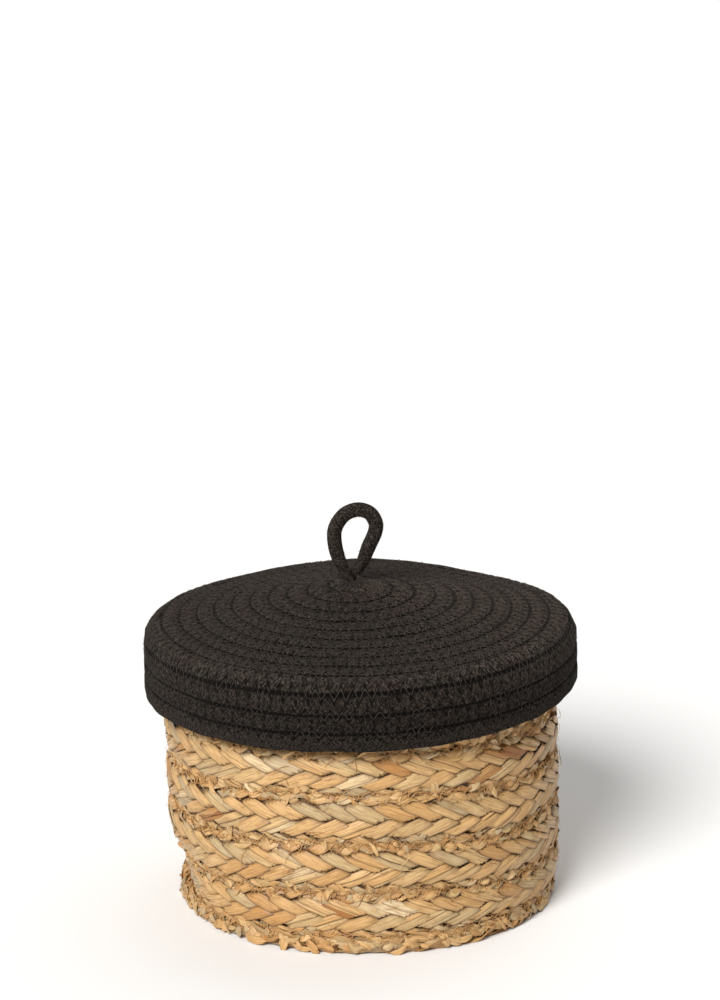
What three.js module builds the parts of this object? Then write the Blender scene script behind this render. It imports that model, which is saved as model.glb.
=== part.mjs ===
// Woven lidded box: a round basket of plaited grass strip under a lid of coiled cotton rope.
// Millimetres, +Z up. The origin is on the surface that the base rests on, below the lid's centre.

import * as THREE from 'three';

// Clearances that hold everywhere
const clearance = 0.3;

// The plaited strip, as it is sewn into the wall
const coursePitch = 24.55;
const courseCount = 5;
const stripThickness = 5;
const stripEdgeThickness = 3;
const stripBulge = 2.3;
const plaitStrands = 9;
const strandPitch = 13.1;
const floatRelief = 2.2;

// The basket
const rimRadius = 94.2;
const footDraw = 2.5;
const basketLean = 2.2;
const baseRise = 8.8;
const baseCornerRadius = 5.6;
const baseCornerSquareness = 4;
const baseOverhang = 1.5;
const baseOuterRadius = rimRadius - footDraw + baseOverhang;
const baseStripPitch = coursePitch;
const baseStripGap = 0.65;
const baseCentreHole = 1.4;
const baseStripTaper = 4.3;

// The thread in the basket's seams
const wallThreadHalfHeight = 3.2;
const baseThreadDrop = 0.6;

// The lid's rope and the shape that it is coiled into
const ropePitch = 8.95;
const ropeThickness = 7;
const ropeGap = 0.68;
const crownSlope = THREE.MathUtils.degToRad(10.2);
const crownCornerRadius = 10.5;
const crownLean = -2.4;
const skirtDepth = 23.5;
const lidFit = 2;
const lidTilt = THREE.MathUtils.degToRad(1.1);
const lidThreadDrop = 0.6;

// The loop handle, its tails under the crown and the thread that tacks it down
const loopHeight = 36;
const loopHalfWidth = 10;
const loopRopeRadius = 3.55;
const legRadius = 2.5;
const legOffset = 2.65;
const legGap = 0.9;
const tailLength = 12;
const tackRadius = 0.5;
const tackPasses = 4;

// Facets
const stepsPerLoop = 24;
const ringSteps = 2 * stepsPerLoop;
const loopSteps = 40;
const loopSides = 8;
const tackStepsPerPass = 4;
const tackSides = 5;

const turn = 2 * Math.PI;
const front = -turn / 4;
const jogStart = turn / 8;

function material(color, roughness) {
  return new THREE.MeshStandardMaterial({ color, roughness, metalness: 0 });
}

const straw = material(0xc6a468, 0.75);
const tanThread = material(0x9a7844, 0.85);
const blackRope = material(0x383330, 0.95);
const blackThread = material(0x1f1c1b, 0.9);

// A closed body from rings of points that follow one another. An open body has a cap at each end.
function sweptBody(rings, closed) {
  const sides = rings[0].length;
  const positions = rings.flat().flatMap((point) => [point.x, point.y, point.z]);
  const indices = [];
  const spans = closed ? rings.length : rings.length - 1;
  for (let ring = 0; ring < spans; ring += 1) {
    const next = (ring + 1) % rings.length;
    for (let side = 0; side < sides; side += 1) {
      const a = ring * sides + side;
      const b = ring * sides + (side + 1) % sides;
      const c = next * sides + (side + 1) % sides;
      const d = next * sides + side;
      indices.push(a, b, c, a, c, d);
    }
  }
  if (!closed) {
    const last = (rings.length - 1) * sides;
    for (let side = 1; side < sides - 1; side += 1) {
      indices.push(0, side + 1, side);
      indices.push(last, last + side, last + side + 1);
    }
  }
  const geometry = new THREE.BufferGeometry();
  geometry.setAttribute('position', new THREE.Float32BufferAttribute(positions, 3));
  geometry.setIndex(facedOutwards(positions, indices));
  geometry.computeVertexNormals();
  return geometry;
}

// Six times the body's volume has the sign of its winding, so a body inside out is turned round.
function facedOutwards(positions, indices) {
  const corner = (index) => new THREE.Vector3().fromArray(positions, 3 * index);
  let volume = 0;
  for (let i = 0; i < indices.length; i += 3) {
    volume += corner(indices[i]).dot(corner(indices[i + 1]).cross(corner(indices[i + 2])));
  }
  if (volume > 0) return indices;
  return indices.reverse();
}

function smoothStep(share) {
  const held = THREE.MathUtils.clamp(share, 0, 1);
  return held * held * (3 - 2 * held);
}

// The least distance between points of rings that are more than half a loop apart.
function leastSelfGap(rings) {
  let least = Infinity;
  for (let i = 0; i < rings.length; i += 1) {
    for (let j = i + stepsPerLoop / 2; j < rings.length; j += 1) {
      for (const a of rings[i]) {
        for (const b of rings[j]) least = Math.min(least, a.distanceTo(b));
      }
    }
  }
  return least;
}

function reportSelfGap(name, rings) {
  console.log(`${name}: least gap to itself ${leastSelfGap(rings).toFixed(2)} mm`);
}

// Basket: the axis leans a little to +X towards the foot, and the wall draws in there
const rimHeight = baseRise + courseCount * coursePitch;

function basketPoint(angle, radius, height) {
  const lean = basketLean * (1 - height / rimHeight) ** 2;
  return new THREE.Vector3(lean + radius * Math.cos(angle), radius * Math.sin(angle), height);
}

function seamRadius(height) {
  return rimRadius - footDraw * ((rimHeight - height) / (rimHeight - baseRise)) ** 2;
}

// Base: one strip coiled flat from the centre, with its outermost edge turned up.
// A place on it is a distance along this profile from the centre, and a depth above its underside.
const baseFlatRadius = baseOuterRadius - baseCornerRadius;
const baseCornerLength = baseCornerRadius * turn / 4;
const baseUpright = baseRise - baseCornerRadius - clearance;
const baseEdge = baseFlatRadius + baseCornerLength + baseUpright;
const baseStripWidth = baseStripPitch - baseStripGap;
const baseTurns = Math.ceil((baseEdge - baseCentreHole) / baseStripPitch);

function baseProfilePoint(angle, along, depth) {
  if (along < baseFlatRadius) return basketPoint(angle, along, depth);
  const bend = Math.min((along - baseFlatRadius) / baseCornerRadius, turn / 4);
  const upright = Math.max(0, along - baseFlatRadius - baseCornerLength);
  const power = baseCornerSquareness;
  const squared = (Math.sin(bend) ** power + Math.cos(bend) ** power) ** (-1 / power);
  const reach = squared * (baseCornerRadius - depth);
  const radius = baseFlatRadius + reach * Math.sin(bend);
  return basketPoint(angle, radius, baseCornerRadius - reach * Math.cos(bend) + upright);
}

// The strip keeps its radius for three quarters of a turn and moves out by its width in the last.
const jogStartShare = 0.75;

function baseStripCentre(turns) {
  const whole = Math.floor(turns);
  const jog = smoothStep((turns - whole - jogStartShare) / (1 - jogStartShare));
  return baseEdge - baseStripWidth / 2 + baseStripPitch * (whole - baseTurns + 1 + jog);
}

function baseAngle(turns) {
  return jogStart - turns * turn;
}

// The section's corners: a side, whether it is set in from the strip's edge, and its height share.
// One more on the underside takes the last turn round the foot.
const tipShare = 0.45;
const footShare = 0.39;
const baseSection = [
  [-1, 0, tipShare], [-1, 1, 0], [footShare, 0, 0], [1, 1, 0],
  [1, 0, tipShare], [1, 1, 1], [-1, 1, 1],
];
const taperLimitShare = 0.8;
const leastStripWidth = 2 * baseStripTaper;

function baseCoilRings() {
  const rings = [];
  for (let step = -stepsPerLoop; step <= baseTurns * stepsPerLoop; step += 1) {
    const turns = step / stepsPerLoop;
    const centre = baseStripCentre(turns);
    const inner = Math.max(baseCentreHole, centre - baseStripWidth / 2);
    const outer = Math.min(baseEdge, centre + baseStripWidth / 2);
    if (outer - inner < leastStripWidth) continue;
    const middle = (inner + outer) / 2;
    const half = (outer - inner) / 2;
    const taper = Math.min(baseStripTaper, taperLimitShare * half);
    rings.push(baseSection.map(([side, setIn, up]) => (
      baseProfilePoint(baseAngle(turns), middle + side * (half - setIn * taper), up * stripThickness)
    )));
  }
  return rings;
}

// The base's thread lies in the groove on its upper side, clear of the strip's sloping edges.
function baseThreadRings() {
  const slope = (1 - tipShare) * stripThickness / baseStripTaper;
  const lift = clearance * Math.hypot(1, slope);
  const low = tipShare * stripThickness - slope * baseStripGap / 2 + lift;
  const high = stripThickness - baseThreadDrop;
  const half = (high - low) / slope;
  const rings = [];
  const endTurns = baseTurns - 2 + jogStartShare;
  for (let step = 0; step <= endTurns * stepsPerLoop; step += 1) {
    const turns = step / stepsPerLoop;
    const seam = baseStripCentre(turns) + baseStripPitch / 2;
    const angle = baseAngle(turns);
    rings.push([
      baseProfilePoint(angle, seam, low),
      baseProfilePoint(angle, seam + half, high),
      baseProfilePoint(angle, seam - half, high),
    ]);
  }
  return rings;
}

// Wall: a course's outer side, in shares of its height and of the strip's bulge. The last share is
// how deep a groove of the plait is there: first for a line that is a float in the course's lower
// half, then for its neighbour, a float in the upper half.
const courseOuterShares = [
  [0, 0, [0, 0]], [0.33, 0.93, [0, 1]], [0.5, 1, [0.5, 0.5]], [0.67, 0.93, [1, 0]], [1, 0, [0, 0]],
];

function courseBottom(course) {
  return baseRise + course * coursePitch;
}

// The strands cross the strip at a slant, so each line of floats points round the basket at the
// middle of its course and falls back to both seams.
const floatCount = Math.round(rimRadius * turn / strandPitch);
const floatSteps = 2 * floatCount;
const firstFloatShare = 0.25;

function floatAngle(step, up) {
  const back = plaitStrands / 2 * Math.abs(up - 1 / 2);
  return turn / floatCount * (firstFloatShare + step / 2 - back);
}

function ringAround(outline) {
  const rings = [];
  for (let step = 0; step < ringSteps; step += 1) {
    const angle = step / ringSteps * turn;
    rings.push(outline.map(([radius, height]) => basketPoint(angle, radius, height)));
  }
  return rings;
}

function wallCourse(course) {
  const low = courseBottom(course) + clearance / 2;
  const height = coursePitch - clearance;
  const rings = [];
  for (let step = 0; step < floatSteps; step += 1) {
    const outer = courseOuterShares.map(([up, out, grooves]) => [
      up, out * stripBulge - grooves[step % 2] * floatRelief,
    ]);
    const inner = [
      [1, -stripEdgeThickness], [1 / 2, stripBulge - stripThickness], [0, -stripEdgeThickness],
    ];
    rings.push([...outer, ...inner].map(([up, out]) => {
      const level = low + up * height;
      return basketPoint(floatAngle(step, up), seamRadius(level) + out, level);
    }));
  }
  return sweptBody(rings, true);
}

// The thread's ring has fewer corners than the courses, so its sides run a little inside its radius.
const ringSag = rimRadius * (1 - Math.cos(turn / 2 / ringSteps));

function wallSeamThread(course) {
  const seam = courseBottom(course);
  const [, [up, out]] = courseOuterShares;
  const slope = out * stripBulge / (up * (coursePitch - clearance));
  const stand = clearance * Math.hypot(1, slope) + ringSag;
  const spread = slope * wallThreadHalfHeight;
  return sweptBody(ringAround([
    [seamRadius(seam) + stand, seam],
    [seamRadius(seam + wallThreadHalfHeight) + spread + stand, seam + wallThreadHalfHeight],
    [seamRadius(seam) + spread + stand, seam - wallThreadHalfHeight],
  ]), true);
}

// Lid: heights count from the centre of its rounded edge. A place on it is a distance along the
// rope's middle line from the crown's peak, and a height above that line, outwards.
const ropeWidth = ropePitch - ropeGap;
const lidRadius = rimRadius + stripBulge + lidFit + ropeThickness;
const edgeRadius = crownCornerRadius - ropeThickness / 2;
const edgeCentre = lidRadius - crownCornerRadius;
const crownReach = edgeCentre + edgeRadius * Math.sin(crownSlope);
const crownLength = crownReach / Math.cos(crownSlope);
const edgeLength = edgeRadius * (turn / 4 - crownSlope);
const peakHeight = edgeRadius * Math.cos(crownSlope) + crownReach * Math.tan(crownSlope);

function lidProfilePoint(angle, along, height) {
  let radius = along * Math.cos(crownSlope);
  let level = peakHeight - along * Math.sin(crownSlope);
  let facing = crownSlope;
  if (along > crownLength) {
    facing = Math.min(crownSlope + (along - crownLength) / edgeRadius, turn / 4);
    const down = Math.max(0, along - crownLength - edgeLength);
    radius = edgeCentre + edgeRadius * Math.sin(facing);
    level = edgeRadius * Math.cos(facing) - down;
  }
  radius += height * Math.sin(facing);
  level += height * Math.cos(facing);
  const lean = crownLean * Math.max(0, 1 - along / crownLength);
  return new THREE.Vector3(lean + radius * Math.cos(angle), radius * Math.sin(angle), level);
}

// The first turn of rope leaves a hole that both legs of the loop fit through.
const ropeStart = legOffset + legRadius + legGap + ropeWidth / 2;
const ropeLoops = (crownLength + edgeLength + skirtDepth - ropeStart) / ropePitch;

function lidAngle(loops) {
  return front - loops * turn;
}

function ropeCentre(loops) {
  return ropeStart + ropePitch * loops;
}

// Shares of the rope's half width and half thickness. The rope's first few steps are one straight.
const ropeSectionShares = [[-1, 0], [-0.54, -1], [0.54, -1], [1, 0], [0.54, 1], [-0.54, 1]];
const straightSteps = 3;

function lidRopeRings() {
  const rings = [];
  for (let step = 0; step <= ropeLoops * stepsPerLoop; step += 1) {
    if (step > 0 && step < straightSteps) continue;
    const loops = step / stepsPerLoop;
    rings.push(ropeSectionShares.map(([across, up]) => lidProfilePoint(
      lidAngle(loops),
      ropeCentre(loops) + across * ropeWidth / 2,
      up * ropeThickness / 2,
    )));
  }
  return rings;
}

// The groove between two loops of rope, on the lid's outer side
const ropeShoulderShare = ropeSectionShares[4][0];
const grooveHalf = ropePitch / 2 - ropeShoulderShare * ropeWidth / 2;
const grooveSlope = ropeThickness / 2 / (grooveHalf - ropeGap / 2);
const grooveLift = clearance * Math.hypot(1, grooveSlope);

// The thread starts this share of a loop on, past the legs of the handle.
const threadStartShare = 0.16;

function lidThreadRings() {
  const low = grooveLift - grooveSlope * ropeGap / 2 + clearance / 2;
  const high = ropeThickness / 2 - lidThreadDrop;
  const half = (high - low) / grooveSlope;
  const rings = [];
  const firstStep = Math.ceil(threadStartShare * stepsPerLoop);
  for (let step = firstStep; step <= (ropeLoops - 1) * stepsPerLoop; step += 1) {
    const loops = step / stepsPerLoop;
    const seam = ropeCentre(loops) + ropePitch / 2;
    const angle = lidAngle(loops);
    rings.push([
      lidProfilePoint(angle, seam, low),
      lidProfilePoint(angle, seam + half, high),
      lidProfilePoint(angle, seam - half, high),
    ]);
  }
  return rings;
}

// The lid sits on the rim: its lower side clears the rim's outer edge under the crown's left side.
function crownUnderside(radius) {
  return peakHeight - radius * Math.tan(crownSlope) - ropeThickness / 2 / Math.cos(crownSlope);
}

function lidSeatHeight() {
  const drop = rimRadius * Math.sin(lidTilt);
  return rimHeight + clearance + drop - crownUnderside(rimRadius) * Math.cos(lidTilt);
}

// Loop handle: across in shares of its half width, towards -Y in shares of the leg offset,
// up in shares of its height above the crown. The list runs up the front leg and down the back one.
const loopShares = [
  [-0.22, 1, 0.01], [-0.58, 0.8, 0.233], [-0.845, 0.45, 0.456], [-0.9, 0.2, 0.683],
  [-0.76, 0.1, 0.8], [-0.35, 0, 0.936], [0.29, 0, 0.994], [0.83, 0, 0.94], [1.11, -0.1, 0.8],
  [1.08, -0.2, 0.683], [0.735, -0.45, 0.456], [0.41, -0.8, 0.233], [-0.02, -1, 0.039],
];
const crownTop = peakHeight + ropeThickness / 2 / Math.cos(crownSlope);

// A tail drops through the hole and turns out along the underside of the crown.
const tailShares = [0, 0.4, 0.75, 1];

function tailPoints(side) {
  const place = (out, level) => new THREE.Vector3(crownLean, -side * out, level);
  const under = (out) => crownUnderside(out) - (clearance + legRadius) / Math.cos(crownSlope);
  const bendStart = legOffset + 2 * legRadius;
  const along = tailShares.map((share) => bendStart + share * tailLength);
  return [
    place(legOffset, peakHeight - ropeThickness / 4),
    place(legOffset, crownUnderside(0) - clearance),
    place((legOffset + bendStart) / 2, under(0)),
    ...along.map((out) => place(out, under(out))),
  ];
}

function loopCurve() {
  const loop = loopShares.map(([across, towards, up]) => new THREE.Vector3(
    crownLean + across * loopHalfWidth,
    -towards * legOffset,
    crownTop + up * loopHeight,
  ));
  const points = [...tailPoints(1).reverse(), ...loop, ...tailPoints(-1)];
  return new THREE.CatmullRomCurve3(points, false, 'centripetal');
}

function tubeRings(curve, steps, sides, radiusAt) {
  const frames = curve.computeFrenetFrames(steps, false);
  const rings = [];
  for (let step = 0; step <= steps; step += 1) {
    const middle = curve.getPointAt(step / steps);
    const radius = radiusAt(middle);
    const ring = [];
    for (let side = 0; side < sides; side += 1) {
      const angle = side / sides * turn;
      ring.push(middle.clone()
        .addScaledVector(frames.normals[step], radius * Math.cos(angle))
        .addScaledVector(frames.binormals[step], radius * Math.sin(angle)));
    }
    rings.push(ring);
  }
  return rings;
}

function loopHandleRings() {
  const radiusAt = (point) => {
    const share = smoothStep(2 * (point.z - crownTop) / loopHeight);
    return THREE.MathUtils.lerp(legRadius, loopRopeRadius, share);
  };
  return tubeRings(loopCurve(), loopSteps, loopSides, radiusAt);
}

// The tack thread crosses the first turn of rope beside the front leg, there and back. Its passes
// are in shares of a loop of rope.
const tackStartShare = 0.03;
const tackPassShare = 0.035;

function tackCurve() {
  const over = ropeThickness / 2 + clearance + tackRadius;
  const points = [];
  for (let pass = 0; pass <= tackPasses; pass += 1) {
    const loops = tackStartShare + pass * tackPassShare;
    const centre = ropeCentre(loops);
    const reach = (ropeShoulderShare * ropeWidth / 2 + tackRadius) * (pass % 2 ? 1 : -1);
    points.push(lidProfilePoint(lidAngle(loops), centre + reach, over));
  }
  return new THREE.CatmullRomCurve3(points, false, 'centripetal');
}

function tackRings() {
  return tubeRings(tackCurve(), tackPasses * tackStepsPerPass, tackSides, () => tackRadius);
}

// Assembly
function addMesh(parent, name, geometry, look) {
  const mesh = new THREE.Mesh(geometry, look);
  mesh.name = name;
  parent.add(mesh);
}

const baseRings = baseCoilRings();
const ropeRings = lidRopeRings();
reportSelfGap('base_coil', baseRings);
reportSelfGap('lid_rope', ropeRings);

const basket = new THREE.Group();
addMesh(basket, 'base_coil', sweptBody(baseRings, false), straw);
addMesh(basket, 'base_seam_thread', sweptBody(baseThreadRings(), false), tanThread);
for (let course = 0; course < courseCount; course += 1) {
  addMesh(basket, `wall_course_${course + 1}`, wallCourse(course), straw);
  addMesh(basket, `wall_seam_thread_${course + 1}`, wallSeamThread(course), tanThread);
}

const lid = new THREE.Group();
lid.position.z = lidSeatHeight();
lid.rotation.y = -lidTilt;
addMesh(lid, 'lid_rope', sweptBody(ropeRings, false), blackRope);
addMesh(lid, 'lid_seam_thread', sweptBody(lidThreadRings(), false), blackThread);
addMesh(lid, 'loop_handle', sweptBody(loopHandleRings(), false), blackRope);
addMesh(lid, 'loop_tack_thread', sweptBody(tackRings(), false), blackThread);

const box = new THREE.Group();
box.add(basket, lid);

export default box;
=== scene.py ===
# %% [markdown]
# # A woven lidded box
# The box is a round basket of plaited grass strip, sewn course above course, under a lid of coiled
# cotton rope with a rope loop to lift it by. The CAD model gives every size and place. These cells
# dress it: each strand of the plait, each stitch and the rope itself are swept along their real
# paths with numpy, because a weave is a rule that repeats, and a rule is shorter to write than a
# weave is to model by hand.

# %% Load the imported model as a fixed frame
import functools
import math

import bpy
import numpy as np
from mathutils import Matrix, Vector


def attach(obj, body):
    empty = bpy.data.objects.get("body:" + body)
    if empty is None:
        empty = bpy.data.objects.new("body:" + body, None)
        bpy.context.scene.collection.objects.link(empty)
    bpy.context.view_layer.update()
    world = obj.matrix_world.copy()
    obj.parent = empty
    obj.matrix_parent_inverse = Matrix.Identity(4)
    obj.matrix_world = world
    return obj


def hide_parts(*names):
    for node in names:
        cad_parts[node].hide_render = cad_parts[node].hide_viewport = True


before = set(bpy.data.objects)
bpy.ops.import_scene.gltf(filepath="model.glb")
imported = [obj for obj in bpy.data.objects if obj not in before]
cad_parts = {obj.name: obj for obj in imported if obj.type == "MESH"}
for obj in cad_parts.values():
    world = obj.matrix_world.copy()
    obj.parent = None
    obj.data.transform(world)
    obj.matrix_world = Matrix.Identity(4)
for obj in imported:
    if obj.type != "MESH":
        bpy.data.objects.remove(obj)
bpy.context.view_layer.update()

MM = 0.001
TURN = 2 * math.pi

# %% [markdown]
# ## The camera
# A product photographer stands back with a long lens, so that the round lid stays calm and nothing
# bulges. The camera is two metres away and looks 16 degrees down. Its lens follows from how large
# the lid is in the frame, whose long side is 36 mm of sensor for 1000 pixels.

# %% Camera at the photograph's viewing angle
FOCAL_PIXELS = 4061.4
FRAME_PIXELS = 1000
LOOK_DOWN = 16.114
camera = bpy.data.objects.new("camera", bpy.data.cameras.new("camera"))
bpy.context.scene.collection.objects.link(camera)
camera.location = (0, -1.8834, 0.7424)
camera.rotation_euler = (math.radians(90 - LOOK_DOWN), 0, 0)
camera.data.sensor_width = 36
camera.data.lens = FOCAL_PIXELS / FRAME_PIXELS * camera.data.sensor_width
camera.data.clip_start = 0.1
bpy.context.scene.camera = camera
print("lens:", round(camera.data.lens, 1), "mm")

# %% [markdown]
# ## Small tools for materials
# Colours are written as a paint program shows them and turned to linear light, because shaders add
# up light and not screen values. One function adds a node with its settings and links and hands
# back its output, so that each material below reads from its pattern to its finish.

# %% Colour and node helpers
def linear(hex_colour):
    channels = [int(hex_colour[i:i + 2], 16) / 255 for i in (0, 2, 4)]
    return tuple(c / 12.92 if c <= 0.04045 else ((c + 0.055) / 1.055) ** 2.4 for c in channels) + (1,)


def fill(node, inputs):
    """Sets or links a node's inputs, in their order or by name."""
    for socket, value in (inputs.items() if isinstance(inputs, dict) else enumerate(inputs)):
        if isinstance(value, bpy.types.NodeSocket):
            node.id_data.links.new(value, node.inputs[socket])
        else:
            node.inputs[socket].default_value = value


def add_node(tree, kind, inputs=(), operation=None, output=None, stops=(), **settings):
    """Adds a node and returns one of its outputs. A ramp's stops are pairs of place and colour."""
    node = tree.nodes.new("ShaderNode" + kind)
    if operation:
        node.operation = operation
    for name, value in settings.items():
        setattr(node, name, value)
    fill(node, inputs)
    if stops:
        elements = node.color_ramp.elements
        while len(elements) < len(stops):
            elements.new(1)
        for element, (place, colour) in zip(elements, stops):
            element.position = place
            element.color = linear(colour)
    return node.outputs[output] if output else next(s for s in node.outputs if s.enabled)


def new_material(name):
    material = bpy.data.materials.new(name)
    material.use_nodes = True
    tree = material.node_tree
    return material, functools.partial(add_node, tree), tree.nodes["Principled BSDF"]

# %% [markdown]
# ## Floor and light
# The box stands on seamless matt paper that fills the view. The main light stands in front, 25
# degrees to the left and 38 up, because the photograph's right side is in shade. It could be a
# large area light, but that leaves the far floor grey. A sun with a wide angle is as soft and
# lights the whole floor alike. A weak one from behind lifts the far edge of the dark lid.

# %% Floor, lights and background
FLOOR_REACH = 14.0
corners = [(-FLOOR_REACH, -FLOOR_REACH, 0), (FLOOR_REACH, -FLOOR_REACH, 0),
           (FLOOR_REACH, FLOOR_REACH, 0), (-FLOOR_REACH, FLOOR_REACH, 0)]
floor_mesh = bpy.data.meshes.new("floor")
floor_mesh.from_pydata(corners, [], [(0, 1, 2, 3)])
floor = bpy.data.objects.new("floor", floor_mesh)
bpy.context.scene.collection.objects.link(floor)
paper, _, shader = new_material("matt_white_paper")
fill(shader, {"Base Color": linear("f6f5f3"), "Roughness": 0.9})
floor_mesh.materials.append(paper)


def add_light(name, from_place, strength, soft_degrees):
    data = bpy.data.lights.new(name, "SUN")
    data.energy = strength
    data.angle = math.radians(soft_degrees)
    light = bpy.data.objects.new(name, data)
    light.rotation_mode = "QUATERNION"
    light.rotation_quaternion = Vector(from_place).to_track_quat("Z", "Y")
    bpy.context.scene.collection.objects.link(light)


add_light("key", (-0.46, -1.0, 0.85), 3.7, 26)
add_light("back", (0.4, 1.0, 1.8), 0.75, 50)
world = bpy.data.worlds.new("studio")
bpy.context.scene.world = world
world.use_nodes = True
fill(world.node_tree.nodes["Background"], {"Color": linear("fbfbfa"), "Strength": 0.26})
bpy.context.scene.view_settings.view_transform = "Standard"

# %% [markdown]
# ## A pile of strips
# Grass strands, threads and rope are all long bodies with one section that changes a little along
# the way. Many such bodies go into one mesh at once: an array holds, for every body, its rings of
# points. Each point keeps a tone for its colour or its painted light, its place along and across the
# strand in mm, so that the grain follows the strand however it bends, and marks, which tell the
# material how much shade to paint on the point or how near a stitch it is.

# %% Gather swept bodies and turn them into one object
class Pile:
    def __init__(self):
        self.points, self.faces, self.tones, self.grains, self.marks = [], [], [], [], []
        self.count = 0

    def add(self, rings, tone, grain, closed=False, marks=(0, 0, 0)):
        """Arrays are bodies, steps, sides, 3. The tone is one for each body, or bodies, steps, sides."""
        bodies, steps, sides = rings.shape[:3]
        index = np.arange(bodies * steps * sides).reshape(bodies, steps, sides) + self.count
        after = np.roll(index, -1, axis=1) if closed else index[:, 1:]
        before = index if closed else index[:, :-1]
        quads = [before, np.roll(before, -1, 2), np.roll(after, -1, 2), after]
        self.faces += np.stack(quads, -1).reshape(-1, 4).tolist()
        if not closed:
            self.faces += index[:, 0, ::-1].tolist() + index[:, -1].tolist()
        self.points.append(rings.reshape(-1, 3))
        tone = tone if np.ndim(tone) == 3 else np.reshape(tone, (-1, 1, 1))
        self.tones.append(np.broadcast_to(tone, rings.shape[:3]).ravel())
        self.grains.append(np.broadcast_to(grain, rings.shape).reshape(-1, 3))
        self.marks.append(np.broadcast_to(marks, rings.shape).reshape(-1, 3))
        self.count += bodies * steps * sides

    def build(self, name, material, body, node, sharp=None):
        points = np.concatenate(self.points)
        points[:, 2] = np.maximum(points[:, 2], 0)
        assert np.isfinite(points).all(), name
        mesh = bpy.data.meshes.new(name)
        mesh.from_pydata(points.tolist(), [], self.faces)
        for attribute, rows in (("tone", self.tones), ("grain", self.grains), ("marks", self.marks)):
            kind, field = ("FLOAT", "value") if attribute == "tone" else ("FLOAT_VECTOR", "vector")
            made = mesh.attributes.new(attribute, kind, "POINT")
            made.data.foreach_set(field, np.concatenate(rows).astype(np.float32).ravel())
        mesh.shade_smooth()
        if sharp:
            mesh.set_sharp_from_angle(angle=math.radians(sharp))
        mesh.materials.append(material)
        piece = bpy.data.objects.new(name, mesh)
        bpy.context.scene.collection.objects.link(piece)
        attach(piece, body)
        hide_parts(node)
        low, high = piece.bound_box[0], piece.bound_box[6]
        size = [round((high[i] - low[i]) / MM, 1) for i in range(3)]
        print(name, "faces:", len(self.faces), "size in mm:", size)

# %% [markdown]
# ## Sweeping a section along a line
# A swept body needs a line, the direction out of the surface that it lies on, and a section with a
# width and a depth. Those directions carry the section along, so that a flat blade lies flat.

# %% Rings of points round many lines at once
def unit(vectors):
    return vectors / np.linalg.norm(vectors, axis=-1, keepdims=True)


def smooth(share):
    held = np.clip(share, 0, 1)
    return held * held * (3 - 2 * held)


def sweep(centres, outs, section, half_width, half_depth, roll=0.0):
    """The section's corners are pairs of across and out, in half widths and half depths."""
    tangents = unit(np.gradient(centres, axis=-2))
    across = unit(np.cross(tangents, outs))
    up = np.cross(across, tangents)
    roll = np.asarray(roll)[..., None]
    side = across * np.cos(roll) + up * np.sin(roll)
    top = up * np.cos(roll) - across * np.sin(roll)
    u, v = np.moveaxis(np.asarray(section, float)[..., None], -2, 0)
    half_width = np.asarray(half_width)[..., None, None]
    half_depth = np.asarray(half_depth)[..., None, None]
    return (centres[..., None, :] + side[..., None, :] * u * half_width * MM
            + top[..., None, :] * v * half_depth * MM)


def distances(centres):
    """How far along its line each point is, in mm."""
    steps = np.linalg.norm(np.diff(centres, axis=-2), axis=-1) / MM
    return np.concatenate([np.zeros_like(steps[..., :1]), np.cumsum(steps, -1)], -1)


def grain_of(centres, section, half_width, seed):
    """Each point's place along and across its body in mm, and the body's seed."""
    u = np.asarray(section, float)[..., 0]
    along = distances(centres)[..., None] + 0 * u
    across = np.asarray(half_width)[..., None] * u + 0 * along
    seeds = np.reshape(seed, (-1, 1, 1)) + 0 * along
    return np.stack([along, across, seeds], -1)


def laid_on(place, x, s, h, side=1):
    """Points of a surface and the directions away from it, on its outer or its inner side."""
    centres = place(x, s, h)
    return centres, unit(place(x, s, h + side) - centres)

# %% [markdown]
# ## The shape of the basket
# The sizes are the CAD's, in millimetres. The real basket was sewn by hand from the base up, so it
# isn't true: its seams wander and dip towards the sides, its foot is pushed in on the left and
# swells on the right, and rim and lid sag at two places at the back. Slow waves and soft dips add
# this to the CAD's level rings.

# %% Where a place on the basket is
COURSES = 5
COURSE_PITCH = 24.55
BASE_RISE = 8.8
RIM_RADIUS = 94.2
FOOT_DRAW = 2.5
BULGE = 2.3
BASKET_LEAN = 2.2
CLEARANCE = 0.3
RIM_HEIGHT = BASE_RISE + COURSES * COURSE_PITCH
RING_RADIUS = RIM_RADIUS - 1
RING_LENGTH = TURN * RING_RADIUS
SUNK = 1.5
WANDER = 0.9
WAVES = (2, 3, 5, 7)
FRONT_DIPS = (0, 2.2, 1.5, 1.5, 4.5, 0)
SIDE_DIPS = (0, 6.5, 7.0, 7.5, 7.5, 0)
rng = np.random.default_rng(7)
# One row of waves for each seam from the base to the rim. A first row is drawn and left out.
wave_starts = rng.uniform(0, TURN, (COURSES + 2, len(WAVES)))[1:]


def near(angle, centre, width):
    """1 at the centre's angle, falling to 0 over the width, in degrees."""
    away = (np.degrees(angle) - centre + 180) % 360 - 180
    return np.exp(-(away / width) ** 2)


def sag(angle):
    """How far the rim and the lid on it hang down at two places at the back, in mm."""
    return 2.4 * near(angle, 126, 26) + 3.2 * near(angle, 54, 27)


def seam_level(course, angle):
    held = 0.25 if course in (0, COURSES) else 0.8
    parts = [np.sin(n * angle + wave_starts[course, i]) / (i + 2) for i, n in enumerate(WAVES)]
    level = BASE_RISE + course * COURSE_PITCH + held * WANDER * sum(parts)
    to_side = smooth((np.abs(np.cos(angle)) - 0.2) / 0.7)
    from_back = 1 - smooth(np.sin(angle) / 0.8)
    dip = FRONT_DIPS[course] + (SIDE_DIPS[course] - FRONT_DIPS[course]) * to_side
    return level - dip * from_back - sag(angle) * (course / COURSES) ** 3


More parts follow.
